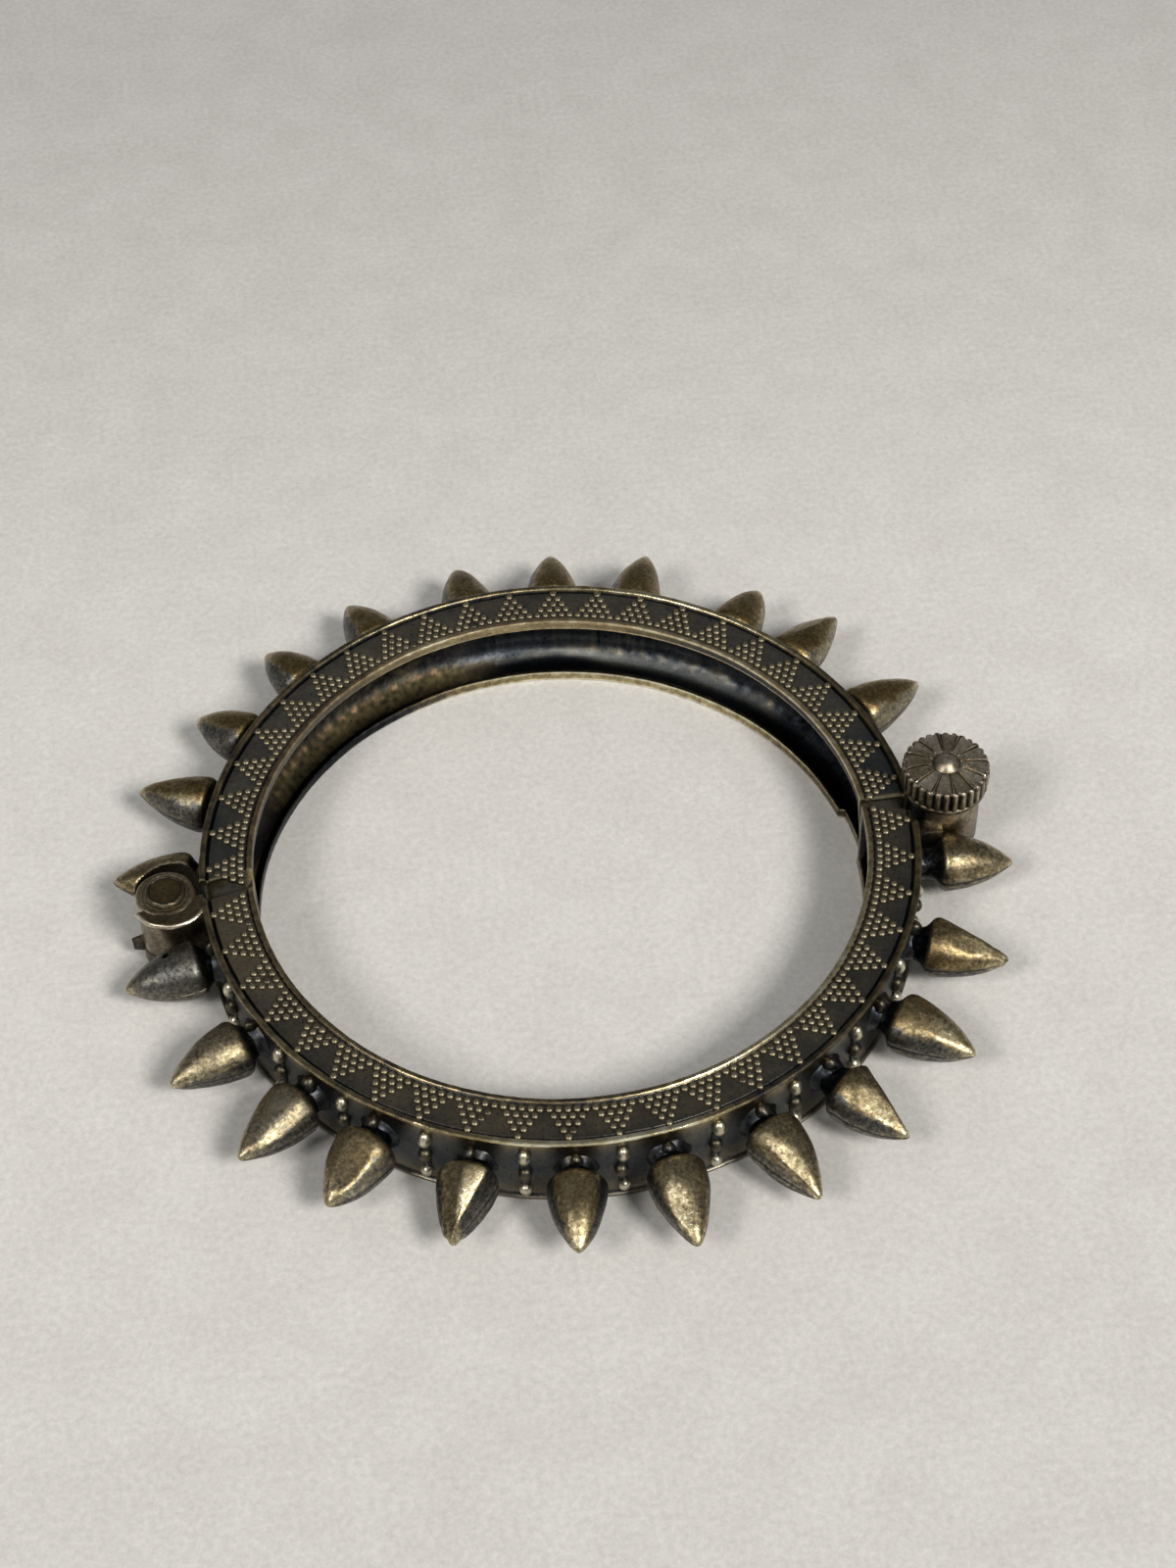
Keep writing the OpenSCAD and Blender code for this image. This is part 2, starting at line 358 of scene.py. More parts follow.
def make_piece(name, form, body, finish, node=None, crease=38):
    """Turns a form in millimetres into a piece in metres that rides on a body."""
    for vert in form.verts:
        vert.co.z = max(vert.co.z, 0.0)
    bmesh.ops.scale(form, vec=(0.001, 0.001, 0.001), verts=form.verts)
    mesh = bpy.data.meshes.new(name)
    form.to_mesh(mesh)
    form.free()
    mesh.materials.append(finish)
    mesh.shade_smooth()
    mesh.set_sharp_from_angle(angle=math.radians(crease))
    piece = bpy.data.objects.new(name, mesh)
    bpy.context.scene.collection.objects.link(piece)
    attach(piece, body)
    if node:
        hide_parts(node)


def cut_y(cut, r):
    """How far a cut through the ring lies from its diameter, at a distance from the middle."""
    y, at, slope = cut
    return y + slope * (r - at)


def ring_place(r, share, clasp_cut, hinge_cut):
    """Angle on a half ring whose ends are straight cuts, share 0 at the clasp and 1 at the hinge."""
    clasp_y = cut_y(clasp_cut, r)
    hinge_y = cut_y(hinge_cut, r)
    start = math.asin(abs(clasp_y) / r)
    # The near half's innermost edge, where its clasp cut passes the diameter, laps over the hinge cut.
    stop = math.pi - math.asin((-hinge_y if clasp_y < 0 else hinge_y) / r)
    return start + (stop - start) * share


# Columns: wear, colour
DARK_TONES = [
    (0.0, (0.007, 0.008, 0.011)),
    (0.2, (0.045, 0.050, 0.058)),
    (0.4, (0.118, 0.101, 0.070)),
]
BRASSY_TONES = DARK_TONES + [
    (0.6, (0.30, 0.235, 0.13)),
    (0.8, (0.58, 0.51, 0.32)),
    (1.0, (0.90, 0.86, 0.66)),
]
blackened = patinated(
    "blackened_silver",
    BRASSY_TONES,
    mottle=0.35,
    speckle=0.42,
    roughness=(0.36, 0.22),
    bump=0.4,
    tint=[
        (0.0, (0.21, 0.235, 0.25)),
        (0.25, (0.08, 0.055, 0.055)),
        (0.45, (0.17, 0.145, 0.07)),
        (0.7, (0.27, 0.20, 0.10)),
        (1.0, (0.62, 0.40, 0.24)),
    ],
    film_matt=0.3,
)
# Columns: part of the section, middle angle round the ring, half width in degrees, change of wear.
# Some changes are painted light: the rim round 62 and 268 degrees is brightened as a painted
# highlight.
RUBBED_AND_PAINTED_LIGHT = [
    ("rim", 62, 28, 0.26),
    ("rim", 268, 24, 0.42),
    ("rim", 215, 30, 0.06),
    ("rim", 322, 40, -0.26),
    ("rim", 8, 26, -0.30),
    ("lip", 45, 50, 0.20),
    ("lip", 108, 14, 0.20),
    ("lip", 155, 40, -0.12),
    ("lip", 262, 26, -0.12),
    ("lip", 314, 44, 0.26),
    ("lip side", 8, 55, -0.34),
    ("lip side", 96, 34, 0.24),
    ("lip side", 174, 22, -0.18),
    ("lower lip", 66, 48, 0.30),
    ("lower lip", 145, 40, -0.62),
    ("field", 4, 18, -0.20),
    ("field", 118, 30, 0.05),
    ("field", 172, 14, -0.10),
    ("field", 192, 18, 0.16),
    ("field", 252, 34, 0.05),
    ("field", 328, 30, -0.05),
    ("wall", 293, 22, 0.10),
    ("wall", 342, 22, -0.30),
]


def ease(value, low, high):
    """0 below low, 1 above high, even between."""
    return min(1.0, max(0.0, (value - low) / (high - low)))


def hump(value, middle, half):
    """1 in the middle, falling away softly to both sides."""
    return math.exp(-(((value - middle) / half) ** 2))


def band_part(r, z):
    """The part of the section that a point belongs to."""
    if r > 34.5 and z >= 8.6:
        return "rim"
    if r < 30.02 and 8.2 < z < 8.75:
        return "lip side"
    if r < 30.7 and z > 7.85:
        return "lip"
    if r < 30.7 and z < 1.35:
        return "lower lip"
    if r < 34.3 and z > 8.8:
        return "field"
    return "wall" if r > 34.6 and 5 < z < 8.6 else "none"


def trough_tarnish(degrees, lean):
    """Wear, scorch, hue and dent at a place in the far trough.

    degrees run round the ring. lean is 0 on the trough's floor and 90 at the foot of its wall.
    """
    cloud = noise.noise(Vector((degrees * 0.16, lean * 0.03, 2)))
    wear_and_painted_light = 0.17 + 0.12 * cloud

    # A painted highlight runs along the floor as a gleam under a film, and ends in a pale patch.
    painted_gleam = ease(degrees, 34, 48) * (1 - ease(degrees, 96, 104))
    painted_gleam *= 1 - 0.4 * ease(degrees, 80, 86)
    painted_gleam *= hump(lean, 23 + 14 * hump(degrees, 82, 7), 17 - 8 * ease(degrees, 72, 80))
    wear_and_painted_light += 0.36 * painted_gleam
    wear_and_painted_light += 0.18 * hump(degrees, 99, 5) * (1 - ease(lean, 24, 40))
    scorch = 0.9 * painted_gleam
    hue = 0.0

    # Towards the hinge the floor is stained brown, under a streak of reddish dabs, then grey. The
    # streak is partly a painted highlight in the oxide's colour.
    edge = 96 if lean > 50 else 92 + 0.12 * lean
    grey = ease(degrees, 146, 158)
    brown = ease(degrees, edge, edge + 8) * (1 - grey)
    if brown + grey > 0:
        reddish_gleam_streak = hump(lean, 41, 9) * (1 - grey)
        dabs = reddish_gleam_streak * ease(0.5 + 1.6 * noise.noise(Vector((degrees * 0.6, 0, 4))), 0, 1)
        fleck = noise.noise(Vector((degrees * 0.9, lean * 0.12, 7)))
        cover = 0.35 + 0.55 * (1 - ease(lean, 30, 52)) + 0.3 * dabs
        scorch = ease(cover * brown + (0.5 + cloud) * grey, 0, 1)
        hue = (0.48 + 0.6 * dabs + 0.3 * fleck) * brown + (0.1 + cloud) * grey
        hue -= 0.25 * (1 - ease(degrees, 104, 110)) * ease(lean, 44, 54) * brown
        # flat paints the trough's floor lighter, as painted light, and the middle of the streak a
        # little darker.
        flat = 0.3 * hump(lean, 10, 17) - 0.1 * reddish_gleam_streak
        wear_and_painted_light += (flat + 0.12 * dabs + 0.24 * fleck) * brown + 0.1 * grey

    # Hammer blows ripple the wall on the clasp's side, scratches cross it, and its end is black.
    blows = ease(degrees, 22, 34) * (1 - ease(degrees, 72, 88)) * hump(lean, 47, 19)
    spot = Vector((degrees * 0.5, lean * 0.04, 5))
    dent = 0.15 * blows * noise.noise(spot)
    wear_and_painted_light += 0.32 * blows * (noise.noise(spot * 1.5) + 0.05)
    scratches = ease(degrees, 56, 66) * (1 - ease(degrees, 92, 98)) * ease(lean, 42, 56)
    wear_and_painted_light += 0.26 * scratches * noise.noise(Vector((degrees * 1.1, 0, 9)))
    wear_and_painted_light *= 0.15 + 0.85 * ease(degrees, 12, 42)
    return wear_and_painted_light, scorch, hue, dent


END_PLATE_T = 0.7
END_PLATE_R = 2.56
# How far each end plate stands inside the cut, in radians round the ring
END_PLATE_INSET = 0.002
TROUGH_MIDDLE_R = 32


def half_ring():
    """Half of the trough with flat ends, and a plate in each."""
    band = bmesh.new()
    rows = [band.verts.new((r, 0, z)) for r, z, _ in SECTION]
    hoop = [band.edges.new(pair) for pair in zip(rows, rows[1:] + rows[:1])]
    bmesh.ops.spin(
        band, geom=rows + hoop, axis=(0, 0, 1), cent=(0, 0, 0), angle=math.pi, steps=RING_STEPS
    )
    for at_clasp in (True, False):
        rim = [e for e in band.edges if e.is_boundary and (e.verts[0].co.x > 0) == at_clasp]
        bmesh.ops.contextual_create(band, geom=rim)
    outline = [(INNER_R + 0.02, 1.2), (INNER_R + 0.02, 8.0), (30.8, 8.45)]
    for lean in range(0, 100, 20):
        outline.append(
            (
                TROUGH_X + END_PLATE_R * math.sin(math.radians(lean)),
                TROUGH_Z + END_PLATE_R * math.cos(math.radians(lean)),
            )
        )
    outline += [(r, BAND_H - z) for r, z in outline[:1:-1]]
    for start, inward in ((0, 1), (math.pi, -1)):
        turn = Matrix.Rotation(start + END_PLATE_INSET * inward, 3, "Z")
        ring = [band.verts.new(turn @ Vector((r, 0, z))) for r, z in outline]
        thick = bmesh.ops.extrude_face_region(band, geom=[band.faces.new(ring)])
        bmesh.ops.rotate(
            band,
            cent=(0, 0, 0),
            matrix=Matrix.Rotation(inward * END_PLATE_T / TROUGH_MIDDLE_R, 3, "Z"),
            verts=[v for v in thick["geom"] if isinstance(v, bmesh.types.BMVert)],
        )
    return band


# Columns of a cut: y where it crosses a distance from the middle, that distance, slope outwards
for name, body, side, clasp_cut, hinge_cut in (
    ("far_band", "far_half", 1, (0.74, INNER_R, 0.0), (1.22, 30.7, -0.187)),
    ("near_band", "near_half", -1, (-0.2, 31.0, -0.22), (-0.47, 29.7, -0.185)),
):
    band = half_ring()
    wear_layer = band.verts.layers.float.new("wear_and_painted_light")
    scorch_layer = band.verts.layers.float.new("scorch")
    hue_layer = band.verts.layers.float.new("hue")
    wear_at = {(round(r, 2), round(z, 2)): wear_and_painted_light for r, z, wear_and_painted_light in SECTION}
    for vert in band.verts:
        r = math.hypot(vert.co.x, vert.co.y)
        z = vert.co.z
        share = abs(math.atan2(vert.co.y, vert.co.x)) / math.pi
        turn = ring_place(r, share, clasp_cut, hinge_cut) * side
        degrees = math.degrees(turn)
        part = band_part(r, z)
        wear_and_painted_light = wear_at.get((round(r, 2), round(z, 2)), 0.2)
        for rubbed, middle, half, change in RUBBED_AND_PAINTED_LIGHT:
            if rubbed == part:
                wear_and_painted_light += change * max(0.0, 1 - ((degrees % 360 - middle) / half) ** 2)
        if part in ("rim", "lip", "lower lip"):
            wear_and_painted_light += 0.22 * noise.noise(Vector((degrees * 0.9, r * 1.6, z * 1.6)))
        scorch = 0.0
        hue = 0.0
        if part == "none" and side > 0 and 30.9 < r < 34.05 and 0.79 < z < 8.45:
            lean = math.degrees(math.atan2(r - TROUGH_X, BAND_H - TROUGH_Z - z))
            wear_and_painted_light, scorch, hue, dent = trough_tarnish(degrees, lean)
            r += dent
        elif part == "field":
            scorch = 0.35 if side > 0 else 0.2
        elif part == "rim":
            scorch = 0.75 * ease(math.cos(math.radians(degrees + 10)), 0.55, 0.85)
            hue = 0.55
        elif part == "lip" and side > 0:
            scorch = 0.3
            hue = 0.9
        elif side < 0 and r > 34.6 and z < 7.2:
            scorch = 0.35
        # The end faces are painted pale under a matt film as painted light where they lie in the gaps
        # between the halves, and the far half's top edge there is painted bright as a painted
        # highlight line.
        if share < 0.004 or share > 0.996:
            if z < 8.6:
                wear_and_painted_light = 0.8
                scorch = 0.9
            elif side > 0:
                wear_and_painted_light = 0.78
                scorch = 0.0
        # At the clasp, the near half's rim is pressed flat and the far half's lower lip is filed away.
        if side < 0 and r > 34.4 and z > 8.4 and degrees > -4.4:
            r = 34.42 + (r - 34.42) * 0.3
            z = min(z, 8.84)
            wear_and_painted_light = 0.1
        if side > 0 and r < 30.7 and z < 1.35 and degrees < 11.6:
            r = 30.62 + (r - INNER_R) * 0.15
        vert[wear_layer] = wear_and_painted_light
        vert[scorch_layer] = scorch
        vert[hue_layer] = hue
        vert.co = Vector((r * math.cos(turn), r * math.sin(turn), z))
        if share > 0.996 and side > 0:
            vert.co.y += 0.35 * max(0.0, z - 7.9)
    jitter(band.verts, 0.05, 6.0, 1 + side)
    jitter(band.verts, 0.02, 0.9, 3 + side)
    bmesh.ops.recalc_face_normals(band, faces=band.faces)
    make_piece(name, band, body, blackened, node=body)

# The granule triangles
# Rows of five, four, three, two and one small domes, soldered side by side on both flat faces with
# their bases towards the wrist. The work of years has rubbed their tops bright.
TRIANGLES = 23
TRIANGLE_PITCH = 7.755
TRIANGLE_ROWS = 5
FIRST_ROW_R = 31.15
ROW_STEP = 0.755
GRANULE_R = 0.43
# Middle angle of each half's run of triangles
FAR_MIDDLE = 90.72
NEAR_MIDDLE = 270.8

granulation = patinated(
    "granules",
    DARK_TONES
    + [
        (0.6, (0.27, 0.235, 0.155)),
        (0.8, (0.56, 0.51, 0.37)),
        (1.0, (0.90, 0.87, 0.71)),
    ],
    mottle=0.2,
    speckle=0.2,
    roughness=(0.48, 0.34),
    bump=0.25,
)
for name, body, middle, seed in (
    ("far_granules", "far_half", FAR_MIDDLE, 11),
    ("near_granules", "near_half", NEAR_MIDDLE, 12),
):
    chance = random.Random(seed)
    grains = bmesh.new()
    grains.verts.layers.float.new("wear_and_painted_light")
    for number in range(TRIANGLES):
        axis = middle + (number - (TRIANGLES - 1) / 2) * TRIANGLE_PITCH
        triangle = bmesh.new()
        for row in range(TRIANGLE_ROWS):
            for place in range(TRIANGLE_ROWS - row):
                off = (place - (TRIANGLE_ROWS - row - 1) / 2) * TRIANGLE_PITCH / TRIANGLE_ROWS
                turn = math.radians(axis + off + chance.gauss(0, 0.025))
                r = FIRST_ROW_R + row * ROW_STEP + chance.gauss(0, 0.012)
                size = GRANULE_R * chance.uniform(0.95, 1.03)
                flat = 0.35 if chance.random() < 0.03 else chance.uniform(0.66, 0.72)
                for height in (FACE_Z - 0.02, BAND_H - FACE_Z + 0.02):
                    spot = Matrix.Translation((r * math.cos(turn), r * math.sin(turn), height))
                    bmesh.ops.create_icosphere(
                        triangle,
                        subdivisions=2,
                        radius=size,
                        matrix=spot @ Matrix.Diagonal((1, 1, flat, 1)),
                    )
        wear_layer = triangle.verts.layers.float.new("wear_and_painted_light")
        for vert in triangle.verts:
            rise = abs(vert.co.z - MID_Z) - (FACE_Z - MID_Z)
            vert[wear_layer] = min(0.66, max(0.0, 0.32 + 1.4 * rise))
        absorb(grains, triangle)
    make_piece(name, grains, body, granulation, crease=80)

# The spikes
# Each is two half shells stamped from sheet, soldered along a level seam and set on the wall by a
# narrow neck. Their tops are brown with handling, the tips and the seams are rubbed to brass.
SPIKE_R = 2.9
SPIKE_BASE = 2.42
SPIKE_TIP_R = 0.45
SPIKE_STEPS = 26
SPIKE_ROWS = 12
HINGE_X = 38.5
HINGE_CLEAR_R = 5.0

# Columns: angle round the ring in degrees, reach of the tip from the middle, girth, swing of the tip
# towards growing angles in degrees, extra length of the neck, how far the brown of the top comes down
# the side towards growing and towards falling angles in degrees, its strength, its hue (0 blue grey,
# 0.25 silver grey, 0.5 brown, 1 gold), and how much darker the sides are
FAR_SPIKES = [
    (25.2, 44.5, 1.00, 0, 0.0, 45, 40, 0.9, 0.5, 0.0),
    (41.1, 44.8, 1.00, 0, 0.0, 45, 45, 0.9, 0.5, 0.0),
    (52.5, 43.5, 1.00, 0, 0.0, 45, 60, 0.9, 0.5, 0.0),
    (69.8, 44.8, 1.00, 0, 0.0, 40, 80, 0.9, 0.5, 0.22),
    (83.2, 43.9, 1.00, 0, 0.0, 40, 80, 0.9, 0.5, 0.22),
    (96.9, 43.4, 1.00, 0, 0.0, 40, 80, 0.8, 0.5, 0.22),
    (113.4, 43.4, 1.00, 0, 0.0, 35, 70, 0.9, 0.5, 0.22),
    (128.0, 43.0, 1.00, 0, 0.0, 30, 80, 0.9, 0.5, 0.22),
    (142.6, 43.1, 1.00, 0, 0.0, 26, 80, 0.9, 0.5, 0.22),
    (157.1, 44.0, 1.00, 0, 0.0, 30, 60, 0.9, 0.5, 0.15),
    (172.6, 44.0, 1.00, 0, 0.0, 90, 60, 0.7, 0.7, 0.2),
]
NEAR_SPIKES = [
    (189.4, 44.0, 1.00, 0, 0.0, 95, 60, 0.8, 0.05, 0.24),
    (205.9, 44.3, 1.00, 0, 0.0, 60, 70, 0.45, 0.3, 0.15),
    (220.0, 44.4, 1.00, 0, 0.0, 50, 70, 0.7, 0.3, 0.1),
    (232.9, 43.9, 1.07, 0, 0.1, 40, 80, 0.8, 0.8, -0.1),
    (248.7, 43.6, 1.03, 0, 0.0, 34, 60, 0.6, 0.9, 0.25),
    (263.9, 44.0, 1.00, 0, 0.1, 42, 46, 0.7, 0.7, 0.26),
    (278.3, 44.8, 1.00, -3, 0.1, 60, 50, 0.4, 0.9, 0.26),
    (293.4, 44.8, 1.00, 0, 0.0, 90, 55, 0.5, 0.85, 0.1),
    (306.9, 45.0, 1.03, 0, 0.7, 95, 42, 0.6, 0.7, 0.22),
    (321.4, 45.0, 1.04, 0, 0.5, 95, 45, 0.7, 0.65, 0.2),
    (336.4, 44.5, 1.04, 0, 0.35, 95, 80, 0.7, 0.6, 0.1),
    (352.8, 44.6, 1.00, 0, 1.0, 60, 80, 0.4, 0.4, -0.1),
]

# Columns: spike's angle, a point of the blow along the spike and its turn from the top in degrees
# (towards growing angles), how deep it is flattened and how far it is rubbed; the rubbed strips are
# partly painted highlight, and a negative rub darkens a tip as painted shade over its highlight.
BLOWS = [
    (336.4, 4.6, 55, 0.35, 0.0),
    (336.4, 5.6, -14, 0.12, 0.10),
    (248.7, 8.6, -40, 0.14, 0.0),
    (248.7, 8.8, 70, 0.20, 0.0),
    (248.7, 4.4, 28, 0.03, -0.05),
    (248.7, 6.4, 24, 0.035, 0.03),
    (248.7, 8.0, 18, 0.05, 0.20),
    (278.3, 4.8, -17, 0.07, 0.20),
    (278.3, 6.8, -10, 0.08, 0.20),
    (205.9, 7.6, 100, 0.25, 0.0),
    (220.0, 4.4, 30, 0.10, 0.10),
    (220.0, 8.0, 0, 0.06, -0.14),
    (232.9, 7.8, 5, 0.06, -0.16),
    (293.4, 4.0, -70, 0.20, 0.0),
    (293.4, 4.6, -28, 0.06, 0.10),
    (293.4, 6.8, -20, 0.05, 0.08),
    (41.1, 5.0, 30, 0.22, 0.0),
    (157.1, 5.5, -60, 0.22, 0.0),
    (306.9, 3.6, 70, 0.18, 0.0),
    (306.9, 5.0, -10, 0.09, 0.12),
    (321.4, 5.4, -8, 0.07, 0.12),
]

HINGE_SPIKE = 172.6
PINHOLE_SPIKE = 189.4
# Where the pin hole is, in the spike's own millimetres: along it, across it and up
PINHOLE = Vector((4.7, -0.9, 2.45))
PINHOLE_R = 0.34
# How many times finer the mesh is on the two spikes that are hollowed or pierced
FINER = {HINGE_SPIKE: 2, PINHOLE_SPIKE: 3}
TORN_SPIKES = (248.7, 336.4)


def spike_profile(length, neck, rows):
    """Distance from the wall, radius and wear along a spike."""
    made = [
        (-0.35, 0.0, 0.0),
        (-0.35, 1.50, 0.0),
        (0.20, 1.52, 0.0),
        (neck + 0.70, 1.60, 0.04),
        (neck + 1.15, 1.78, 0.08),
        (neck + 1.48, 2.12, 0.14),
        (neck + 1.70, 2.46, 0.25),
        (neck + 1.90, 2.70, 0.62),
        (neck + 2.12, 2.82, 0.60),
    ]
    base = SPIKE_BASE + neck
    dome = length - base
    inset = SPIKE_R - SPIKE_TIP_R * 0.6
    bow = (dome * dome + inset * inset) / (2 * inset)
    for step in range(rows + 1):
        along = dome * step / (rows + 0.6)
        arc = SPIKE_R - bow + math.sqrt(bow * bow - along * along)
        cone = SPIKE_R - inset * along / dome
        made.append((base + along, 0.82 * arc + 0.18 * cone, 0.53 + 0.3 * (along / dome) ** 5))
    made.append((length - 0.10, SPIKE_TIP_R * 0.66, 0.8))
    made.append((length - 0.02, SPIKE_TIP_R * 0.3, 0.8))
    made.append((length, 0.0, 0.8))
    return made


def clear_hinge(verts, layer=None):
    """Presses points out of the room that the hinge turns in. The pressed face is painted near black,
    a painted shade in the gap beside the barrel, and the edge that they leave is painted bright,
    partly rubbed and partly a painted highlight.
    """
    for vert in verts:
        offset = Vector((vert.co.x + HINGE_X, vert.co.y))
        if offset.length < HINGE_CLEAR_R:
            offset = offset.normalized() * HINGE_CLEAR_R
            vert.co.x = offset.x - HINGE_X
            vert.co.y = offset.y
            if layer:
                vert[layer] = 0.05
        elif layer and offset.length < HINGE_CLEAR_R + 0.3:
            vert[layer] = 0.9


def half_shell(rows, shell, tight, slip, steps):
    """The upper (1) or the lower (-1) shell of a spike, spun from its profile and closed below."""
    half = bmesh.new()
    line = [half.verts.new((along + slip, radius * tight, 0)) for along, radius, _ in rows]
    edges = [half.edges.new(pair) for pair in zip(line, line[1:])]
    bmesh.ops.spin(
        half,
        geom=line + edges,
        axis=(1, 0, 0),
        cent=(0, 0, 0),
        angle=math.pi * shell,
        steps=steps,
    )
    bmesh.ops.remove_doubles(half, verts=half.verts, dist=0.0005)
    bmesh.ops.contextual_create(half, geom=[e for e in half.edges if e.is_boundary])
    bmesh.ops.recalc_face_normals(half, faces=half.faces)
    return half


def turn_round(form, degrees):
    """Turns a form round the wrist's axis, to its place on the wall."""
    place = Matrix.Rotation(math.radians(degrees), 3, "Z")
    bmesh.ops.rotate(form, cent=(0, 0, 0), matrix=place, verts=form.verts)


def strike(spike, rows, along, turn, depth, rub_and_painted_light):
    """Flattens a spike where a blow fell, and brightens the flat, partly as rubbed metal and partly as
    a painted highlight; a negative amount darkens it as painted shade.
    """
    wear_layer = spike.verts.layers.float["wear_and_painted_light"]
    scorch_layer = spike.verts.layers.float["scorch"]
    lean = math.radians(turn)
    normal = Vector((0.35, math.sin(lean), math.cos(lean))).normalized()
    radius = min(rows, key=lambda entry: abs(entry[0] - along))[1]
    spot = Vector((along, radius * math.sin(lean), radius * math.cos(lean)))
    for vert in spike.verts:
        past = (vert.co - spot).dot(normal) + depth
        if past > 0:
            vert.co -= normal * past * 0.9
            share = min(1.0, 2 * past / depth)
            vert[wear_layer] += rub_and_painted_light * share
            vert[scorch_layer] *= 1 - 3 * rub_and_painted_light * share


brassy = patinated(
    "brassy_silver",
    BRASSY_TONES,
    mottle=0.5,
    speckle=1.9,
    roughness=(0.40, 0.25),
    bump=0.8,
    tint=[
        (0.0, (0.17, 0.175, 0.17)),
        (0.25, (0.27, 0.25, 0.19)),
        (0.5, (0.19, 0.125, 0.04)),
        (1.0, (0.32, 0.265, 0.17)),
    ],
    film_matt=0.03,
)
for name, body, table, seed in (
    ("far_spikes", "far_half", FAR_SPIKES, 21),
    ("near_spikes", "near_half", NEAR_SPIKES, 22),
):
    chance = random.Random(seed)
    crown = bmesh.new()
    for layer in ("wear_and_painted_light", "scorch", "hue"):
        crown.verts.layers.float.new(layer)
    for angle, reach, girth, swing, neck, brown_up, brown_down, stain, hue, dark in table:
        length = reach - WALL_R
        finer = FINER.get(angle, 1)
        rows = spike_profile(length, neck, SPIKE_ROWS * finer)
        bluish = hue < 0.1
        # The brown ends softly at the tip, and sooner on the far spikes and on the bluish one.
        fade = 1.6 if table is FAR_SPIKES or bluish else 4.5
        side_hue = 0.0 if 60 < angle < 345 else 0.2
        spike = bmesh.new()
        for layer in ("wear_and_painted_light", "scorch", "hue"):
            spike.verts.layers.float.new(layer)
        for shell in (1, -1):
            # The lower shell is a little smaller and slipped along.
            tight = girth if shell > 0 else girth * chance.uniform(0.955, 0.985)
            slip = 0.0 if shell > 0 else chance.uniform(-0.12, 0.08)
            half = half_shell(rows, shell, tight, slip, SPIKE_STEPS * finer)
            wear_layer = half.verts.layers.float.new("wear_and_painted_light")
            scorch_layer = half.verts.layers.float.new("scorch")
            hue_layer = half.verts.layers.float.new("hue")
            for vert in half.verts:
                along, side, up = vert.co
                turn = math.degrees(math.atan2(side, up))
                row = min(rows, key=lambda entry: abs(entry[0] + slip - along))
                vert[wear_layer] = row[2]
                if along > neck + 1.8:
                    ragged = 14 * noise.noise(vert.co * 0.9 + Vector((angle, 0, 0)))
                    limit = (brown_up if turn > 0 else brown_down) + ragged
                    past = ease(abs(turn), limit, limit + 8)
                    tip = ease(length - along, 0, 1.6)
                    tail = min(1.0, (length - along) / fade)
                    # edge paints a thin line along the border of the brown brighter, partly rubbed
                    # metal and partly a painted highlight.
                    edge = max(0.0, 1 - abs(abs(turn) - limit) / 8) * tip
                    vert[wear_layer] += 0.16 * edge - dark * past * tip - (0.12 if bluish else 0.0)
                    vert[scorch_layer] = stain * (1 - past) * tail + 0.6 * past * tip
                    vert[scorch_layer] *= 1 - 0.4 * edge
                    vert[hue_layer] = hue * (1 - past) + side_hue * past
                    if shell < 0:
                        vert[wear_layer] = 0.33 + 0.3 * (1 - tip)
                # The seam is a black line between rubbed edges.
                if abs(up) < 0.02 and along > neck + 1.5:
                    vert.co.y *= 0.955
                    vert[wear_layer] = 0.06
                elif abs(abs(turn) - 90) < 9 and along > neck + 2.0:
                    vert[wear_layer] = 0.52 + 0.25 * noise.noise(vert.co * 1.3)
                # The pin hole is a shallow dent painted black, a painted shade standing in for the
                # dark inside of a hole.
                if angle == PINHOLE_SPIKE and shell > 0 and (vert.co - PINHOLE).length < PINHOLE_R:
                    vert.co.z -= 0.45
                    vert[wear_layer] = 0.0
                    vert[scorch_layer] = 0.0
            absorb(spike, half)
        for struck, *blow in BLOWS:
            if struck == angle:
                strike(spike, rows, *blow)
        jitter(spike.verts, 0.12, 3.2, angle)
        jitter(spike.verts, 0.03, 0.9, angle + 1)
        wear_layer = spike.verts.layers.float["wear_and_painted_light"]
        if angle in TORN_SPIKES:
            torn = [v for v in spike.verts if v.co.x > length - 1.4]
            jitter(torn, 0.2, 0.6, angle + 2)
            for vert in torn:
                vert[wear_layer] = 0.7 + 0.3 * noise.noise(vert.co * 2)
        droop = Matrix.Rotation(math.radians(chance.gauss(0, 1.2)), 3, "Y")
        aim = Matrix.Rotation(math.radians(swing), 3, "Z") @ droop
        bmesh.ops.rotate(spike, cent=(0, 0, 0), matrix=aim, verts=spike.verts)
        bmesh.ops.translate(spike, vec=(WALL_R, 0, MID_Z), verts=spike.verts)
        turn_round(spike, angle)
        if angle == HINGE_SPIKE:
            clear_hinge(spike.verts, wear_layer)
        absorb(crown, spike)
    make_piece(name, crown, body, brassy, crease=50)

# The ball columns
# Three drawn balls stand one above the other on the wall between each pair of spikes. The outer two
# are light, with painted shade darkening their lower halves, and the middle one is dark.
BALL_Z = 4.05
BALL_STEP = 2.5
BALL_PROUD = 0.25
# Columns: level, radius, height over width
BALLS = [(-1, 0.62, 1.1), (0, 0.68, 1.15), (1, 0.64, 1.45)]

